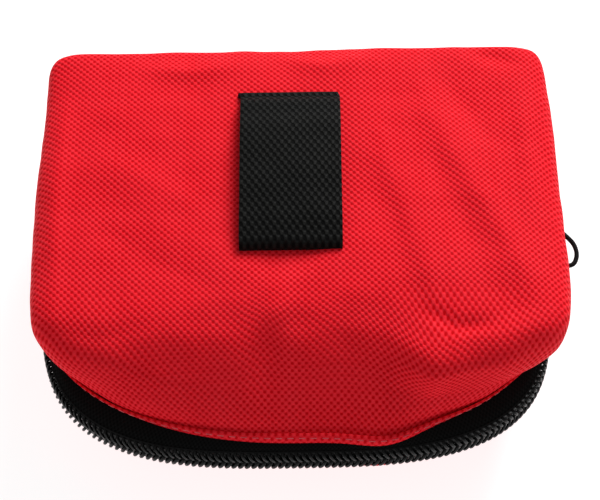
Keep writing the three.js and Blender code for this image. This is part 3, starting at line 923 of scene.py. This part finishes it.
def makeTeeth(half, body, turned):
    z = zipLine
    tooth = modelTooth()
    line = zipPath(z["halfWidth"], z["near"], z["squareness"], z["endY"], 0, 1200)
    count = int(lengthOf(line) / z["toothPitch"])
    centres = evenly(line, 2 * count + 1)
    centres = centres[1::2] if turned else centres[0:-1:2]
    around = np.vstack([centres[:1], centres, centres[-1:]])
    teeth = copiesAlong(tooth, centres, around[2:] - around[:-2], out=-z["toothSeat"])
    inset, heights = z["coreInset"], np.array(z["coreHeights"]) * mm
    coreLine = zipPath(z["halfWidth"] - inset, z["near"] + inset, z["squareness"], z["endY"], 0, 200)
    core = strip([coreLine] * len(heights), heights, z["coreThickness"], False, heights)
    setPoints(core, points(core) - np.array([0, 0, zipZ]))
    teeth = join(f"{half}_zip_teeth", teeth + [core])
    setOnZip(teeth, turned)
    finishPiece(teeth, f"{half}_zip_teeth", body, blackNylon, [f"{half}_zip_coil"])


def makeBinding(half, body, turned):
    s = seamTape
    lines = [zipPath(*outline, s["squareness"], s["endY"], pouch[half][0][5], 160) for outline in s["outlines"]]
    piece = strip(lines, np.array(s["heights"]) * mm, s["thickness"], turned, np.array(s["across"]) * mm)
    finishPiece(piece, f"{half}_seam_tape", body, blackBinding, [f"{half}_seam_binding"])


def makeZipEnds(half, body):
    for side in ("right", "left"):
        node = f"{half}_zip_end_{side}"
        stop = roundedBox(*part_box(node), zipLine["endRounding"])
        finishPiece(stop, f"{node}_fold", body, blackTape, [node])


for half, body, turned in (("back", "lid", False), ("front", "base", True)):
    makeTape(half, body, turned)
    makeTeeth(half, body, turned)
    makeBinding(half, body, turned)
    makeZipEnds(half, body)
    makeHem(half, body, turned)
print("zip is in")

# spine strip: one piece of cloth over the hinge line
spine = {"thickness": 0.9 * mm, "room": 0.2 * mm, "bow": 0.35 * mm, "bendHalf": 2.4 * mm}


def makeSpine():
    low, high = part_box("front_spine")[0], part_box("back_spine")[1]
    piece, grid = gridPiece(60, 12)
    x = between(low.x, high.x, grid[:, 0])
    z = between(low.z, high.z, grid[:, 1])
    bow = spine["bow"] * (1 - grid[:, 1] ** 2) * (0.6 + 0.4 * np.sin(grid[:, 0] * 9))
    setPoints(piece, np.column_stack([x, high.y - spine["thickness"] - spine["room"] + bow, z]))
    paintUv(piece, np.column_stack([x, z]))
    wall(piece, spine["thickness"], 0)
    outwards(piece)
    smoothAll(piece)
    piece.name = piece.data.name = "spine_strip"
    piece.data.materials.append(redCloth)
    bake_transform(piece)
    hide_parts("back_spine", "front_spine")


makeSpine()

# belt loop: one length of webbing with its ends turned under
beltLoop = {
    "thickness": 1.4 * mm, "selvedge": 0.35 * mm, "bow": 0.5 * mm, "skew": -0.01, "slip": 1.2 * mm, "slipFrom": 106,
    # in mm, how far in from the near or the far end, and how far over the cover or below the top
    "nearFoot": [(6.0, 0), (2.4, 0), (0.9, 0.5), (0.5, 1.4), (1.2, 2.5), (3.5, 3.0), (7.5, 3.8)],
    "nearTop": [(12.5, 0.5), (20, 0)],
    "farTop": [(14, 0), (8.0, 0.9)],
    "farFoot": [(4.2, 3.0), (2.4, 1.7), (1.0, 1.5), (0.5, 0.8), (1.2, 0), (5.0, 0)],
}


def makeBeltLoop():
    low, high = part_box("belt_loop")
    t = beltLoop["thickness"]
    near, far, top, flat = low.y, high.y, high.z - t / 2 - 0.1 * mm, low.z + t / 2
    side = [(near + y * mm, flat + z * mm) for y, z in beltLoop["nearFoot"]]
    side += [(near + y * mm, top - z * mm) for y, z in beltLoop["nearTop"]]
    side += [(far - y * mm, top - z * mm) for y, z in beltLoop["farTop"]]
    side += [(far - y * mm, flat + z * mm) for y, z in beltLoop["farFoot"]]
    steps = 120
    path = throughPoints(side, steps + 1)
    piece, grid = gridPiece(24, steps)
    j = stepOf(grid[:, 1], steps)
    u = grid[:, 0]
    y, z = path[j, 0], path[j, 1]
    x = between(low.x, high.x, u, 0.2 * mm) - (y - (near + far) / 2) * beltLoop["skew"]
    x = x - beltLoop["slip"] * ramp(j, beltLoop["slipFrom"], 6)  # the turned-under far end lies a bit askew
    z = z + beltLoop["bow"] * (1 - u**2) * ramp(z, flat, 5 * mm)
    z = z + ripple(np.column_stack([x, y, z]), 7 * mm, 0.25 * mm, 2.0) * ramp(z, flat, 3 * mm)
    setPoints(piece, np.column_stack([x, y, z]))
    paintUv(piece, np.column_stack([(u + 1) * (high.x - low.x) / 2, j / steps * lengthOf(path)]))
    editAll(piece, lambda: bpy.ops.mesh.normals_make_consistent(inside=False))
    wall(piece, t, 0)
    rounding = piece.modifiers.new("rounding", "BEVEL")
    rounding.width = beltLoop["selvedge"]
    rounding.segments = 2
    rounding.limit_method = "ANGLE"
    rounding.angle_limit = 50 * degree
    applyAll(piece)
    outwards(piece)
    smoothAll(piece)
    finishPiece(piece, "belt_webbing", "lid", blackWebbing, ["belt_loop"])


makeBeltLoop()
print("belt loop is sewn on")


# the dressings and tools inside
packetSheet = {"cell": 1.6 * mm, "rimHalf": 0.12 * mm, "merge": 0.003 * mm}


def packet(name, node, seal, crown, wrinkle, material):
    # a flat packet in the space of its CAD solid: sealed rims round a filled middle
    low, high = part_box(node)
    size = high - low
    cell, rimHalf = packetSheet["cell"], packetSheet["rimHalf"]
    halves = []
    for sign, wrinkled in ((1, 1), (-1, 0.4)):
        piece, grid = gridPiece(max(12, int(size.x / cell)), max(8, int(size.y / cell)))
        x, y = between(low.x, high.x, grid[:, 0]), between(low.y, high.y, grid[:, 1])
        inset = np.minimum(size.x / 2 * (1 - np.abs(grid[:, 0])), size.y / 2 * (1 - np.abs(grid[:, 1])))
        fill = np.sin(ramp(inset, seal, crown) * math.pi / 2) ** 0.8
        flat = np.column_stack([x, y, np.zeros(len(x))])
        crease = ripple(flat, 9 * mm, wrinkle, 4.0) + ripple(flat, 3.5 * mm, wrinkle * 0.4, 8.0)
        half = np.maximum(rimHalf, size.z / 2 * fill - rimHalf + crease * fill * wrinkled)
        half = np.where(inset < 1e-7, 0, np.minimum(half, size.z / 2))
        setPoints(piece, np.column_stack([x, y, (low.z + high.z) / 2 + sign * half]))
        paintUv(piece, np.column_stack([x, y]))
        if sign < 0:  # the underside faces down
            editAll(piece, bpy.ops.mesh.flip_normals)
        halves.append(piece)
    piece = join(name, halves)
    editAll(piece, lambda: bpy.ops.mesh.remove_doubles(threshold=packetSheet["merge"]))
    smooth(piece, 50)
    finishPiece(piece, name, "base", material, [node])


packet("triangular_bandage_pack", "triangular_bandage", 1.2 * mm, 6 * mm, 0.9 * mm, filmWrap)
packet("gloves_pack", "gloves_packet", 2.5 * mm, 6 * mm, 0.7 * mm, gloveFilm)
for i in range(1, 6):
    packet(f"plaster_strip_{i}", f"plaster_{i}", 2.2 * mm, 3 * mm, 0.15 * mm, plasterPaper)
for i in range(1, 5):
    packet(f"wipe_{i}", f"wipe_sachet_{i}", 4 * mm, 5 * mm, 0.3 * mm, sachetFoil)
for i in range(1, 3):
    packet(f"dressing_pad_{i}", f"gauze_pad_{i}", 3 * mm, 5 * mm, 0.4 * mm, padPaper)
print("packets are filled")

roll = {"core": 2.6 * mm, "turns": 9, "stepsPerTurn": 36, "thickness": 0.82 * mm, "edgeWander": 0.35 * mm}


def makeRoll(node, name, seed):
    low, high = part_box(node)
    radius = (high.x - low.x) / 2 - roll["thickness"] / 2
    piece, grid = gridPiece(8, roll["turns"] * roll["stepsPerTurn"])
    share = (grid[:, 1] + 1) / 2
    angle = share * roll["turns"] * 2 * math.pi + seed
    r = roll["core"] + (radius - roll["core"]) * share
    wander = roll["edgeWander"] * np.sin(angle * 0.37 + seed)
    y = between(low.y, high.y, grid[:, 0], roll["edgeWander"]) + wander
    x = (low.x + high.x) / 2 + r * np.cos(angle)
    z = (low.z + high.z) / 2 + r * np.sin(angle)
    length = math.pi * (roll["core"] + radius) * roll["turns"]
    setPoints(piece, np.column_stack([x, y, z]))
    paintUv(piece, np.column_stack([y, share * length]))
    wall(piece, roll["thickness"], 0)
    outwards(piece)
    smooth(piece, 50)
    finishPiece(piece, name, "base", gauzeCloth, [node])


makeRoll("bandage_roll_1", "gauze_roll_1", 0.6)
makeRoll("bandage_roll_2", "gauze_roll_2", 2.1)

tapeReel = {"bore": 8.5 * mm, "core": 11 * mm, "flange": 1 * mm, "edge": 0.3 * mm, "layers": 7, "groove": 0.12 * mm}


def turnedRing(name, profile, centre):  # a closed profile of radius and height, spun round
    deselect()
    bpy.ops.mesh.primitive_circle_add(vertices=len(profile), radius=1)
    piece = bpy.context.object
    setPoints(piece, np.array([(r, 0, h) for r, h in profile]))
    editAll(piece, lambda: bpy.ops.mesh.spin(steps=48, angle=2 * math.pi, center=(0, 0, 0), axis=(0, 0, 1)))
    outwards(piece)
    setPoints(piece, points(piece) + np.array(centre))
    piece.name = piece.data.name = name
    return smooth(piece, 35)


def makeTapeReel():
    low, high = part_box("tape_spool")
    centre = ((low.x + high.x) / 2, (low.y + high.y) / 2, low.z)
    width, lip = high.z - low.z, (high.x - low.x) / 2
    bore, core, flange, b = (tapeReel[key] for key in ("bore", "core", "flange", "edge"))
    spool = turnedRing("reel", [
        (bore, b), (bore + b, 0), (lip - b, 0), (lip, b), (lip, flange - b), (lip - b, flange), (core, flange),
        (core, width - b), (core - b, width), (bore + b, width), (bore, width - b),
    ], centre)
    finishPiece(spool, "tape_reel", "base", whitePlastic, ["tape_spool"])
    low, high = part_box("adhesive_tape")
    inner, outer = core + b, (high.x - low.x) / 2
    bottom, top = low.z - centre[2], high.z - centre[2]
    step = (outer - inner) / tapeReel["layers"]
    upper = []
    for k in range(tapeReel["layers"]):  # the wound edge shows its layers
        r = inner + k * step
        upper += [(r + 0.15 * step, top - tapeReel["groove"]), (r + 0.3 * step, top), (r + 0.85 * step, top)]
    lower = [(r, bottom + top - h) for r, h in reversed(upper)]
    sides = [(outer, top - b), (outer, bottom + b)], [(inner, bottom + b), (inner, top - b)]
    tape = turnedRing("tape", upper + sides[0] + lower + sides[1], centre)
    co = points(tape) - np.array(centre)
    angle = np.arctan2(co[:, 1], co[:, 0])
    paintUv(tape, np.column_stack([angle * outer, co[:, 2] + np.hypot(co[:, 0], co[:, 1])]))
    finishPiece(tape, "dressing_tape", "base", tapeCloth, ["adhesive_tape"])


makeTapeReel()
print("rolls are wound")

net = {
    "cells": (46, 28), "thread": 0.42 * mm, "margin": 0.3 * mm, "sag": 0.15 * mm, "band": 0.35 * mm, "bandRoom": 0.2 * mm,
}


def makePocket():
    low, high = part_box("pocket_net")
    piece, grid = gridPiece(*net["cells"])
    x = between(low.x, high.x, grid[:, 0], net["margin"])
    y = between(low.y, high.y, grid[:, 1], net["margin"])
    z = (low.z + high.z) / 2 + net["sag"] * np.cos(grid[:, 0] * 5) * (1 - grid[:, 1] ** 2)
    setPoints(piece, np.column_stack([x, y, z]))
    mesh = piece.modifiers.new("mesh", "WIREFRAME")
    mesh.thickness = net["thread"]
    applyAll(piece)
    netPiece = finishPiece(piece, "net_pocket", "lid", blackBinding, ["pocket_net"])

    low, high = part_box("pocket_binding")
    band, grid = gridPiece(100, 10)
    turn = grid[:, 1] * math.pi  # folded round the net's free edge
    reach = (high.y - low.y) / 2 - net["bandRoom"]
    tall = (high.z - low.z) / 2 - net["band"]
    gather = 1 - 0.3 * (0.5 + 0.5 * np.sin(grid[:, 0] * 75)) * (1 - np.abs(np.cos(turn)))
    x = between(low.x, high.x, grid[:, 0], net["bandRoom"])
    y = (low.y + high.y) / 2 - reach * np.cos(turn)
    z = (low.z + high.z) / 2 + tall * np.sin(turn) * gather
    setPoints(band, np.column_stack([x, y, z]))
    paintUv(band, np.column_stack([x, grid[:, 1] * 8 * mm]))
    wall(band, net["band"], 0)
    outwards(band)
    smooth(band, 60)
    bandPiece = finishPiece(band, "pocket_band", "lid", blackBinding, ["pocket_binding"])


makePocket()

leaflet = {"panels": 4, "thickness": 0.14 * mm, "flare": 0.05 * mm, "margin": 0.5 * mm}


def makeLeaflet():  # one sheet folded back on itself
    low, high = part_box("guide_leaflet")
    panels, t = leaflet["panels"], leaflet["thickness"]
    gapZ = (high.z - low.z - t) / (panels - 1)
    side = []
    for k in range(panels):
        ends = (low.x + leaflet["margin"], high.x - leaflet["margin"])
        start, end = ends if k % 2 == 0 else ends[::-1]
        z = low.z + t / 2 + k * gapZ
        for s in np.linspace(0.02, 0.98, 12):
            side.append((start + (end - start) * s, z + leaflet["flare"] * math.sin(s * math.pi)))
        if k < panels - 1:
            side.append((end, z + gapZ / 2))
    side = np.array(side)
    piece, grid = gridPiece(len(side) - 1, 10)
    i = stepOf(grid[:, 0], len(side) - 1)
    y = between(low.y, high.y, grid[:, 1])
    setPoints(piece, np.column_stack([side[i, 0], y, side[i, 1]]))
    paintUv(piece, np.column_stack([side[i, 0], y]))
    wall(piece, t, 0)
    outwards(piece)
    smooth(piece, 50)
    finishPiece(piece, "folded_leaflet", "lid", leafletPaper, ["guide_leaflet"])


makeLeaflet()
print("lid pocket is in")

refinish(steel, "scissor_blade_1", "scissor_blade_2", "scissor_rivet", "tweezer_arm_1", "tweezer_arm_2")
refinish(steel, "safety_pin_1", "safety_pin_2")
refinish(handleRed, "scissor_handle_1", "scissor_handle_2")
refinish(blackEnamel, "zip_slider", "pull_tab")
print("tools are finished")

studio = {
    "floor": 6.0, "floorTone": 0.4, "floorGlow": 0.85, "world": 0.3,
    "lights": {"key": ((0.36, 0.8, 0.66), 0.5, 13.2), "fill": ((-0.5, -0.4, 0.7), 0.6, 0.4)},
}


def makeStudio():
    deselect()
    bpy.ops.mesh.primitive_plane_add(size=studio["floor"], location=(0, 0, 0))
    floor = bpy.context.object
    floor.name = "floor"
    material, _, shader, _ = startMaterial("pale floor", 0.85, specular=0.1)
    shader.inputs["Base Color"].default_value = (*grey(studio["floorTone"]), 1)
    shader.inputs["Emission Color"].default_value = (1, 1, 1, 1)
    shader.inputs["Emission Strength"].default_value = studio["floorGlow"]
    floor.data.materials.append(material)
    world = bpy.data.worlds.new("studio")
    scene.world = world
    world.use_nodes = True
    world.node_tree.nodes["Background"].inputs["Color"].default_value = (1, 1, 1, 1)
    world.node_tree.nodes["Background"].inputs["Strength"].default_value = studio["world"]
    for name, (spot, size, energy) in studio["lights"].items():
        bpy.ops.object.light_add(type="AREA", location=spot)
        light = bpy.context.object
        light.name = name
        light.data.size = size
        light.data.energy = energy
        light.rotation_euler = (Vector((0, 0, 0.02)) - Vector(spot)).to_track_quat("-Z", "Y").to_euler()


makeStudio()
print("studio is lit")
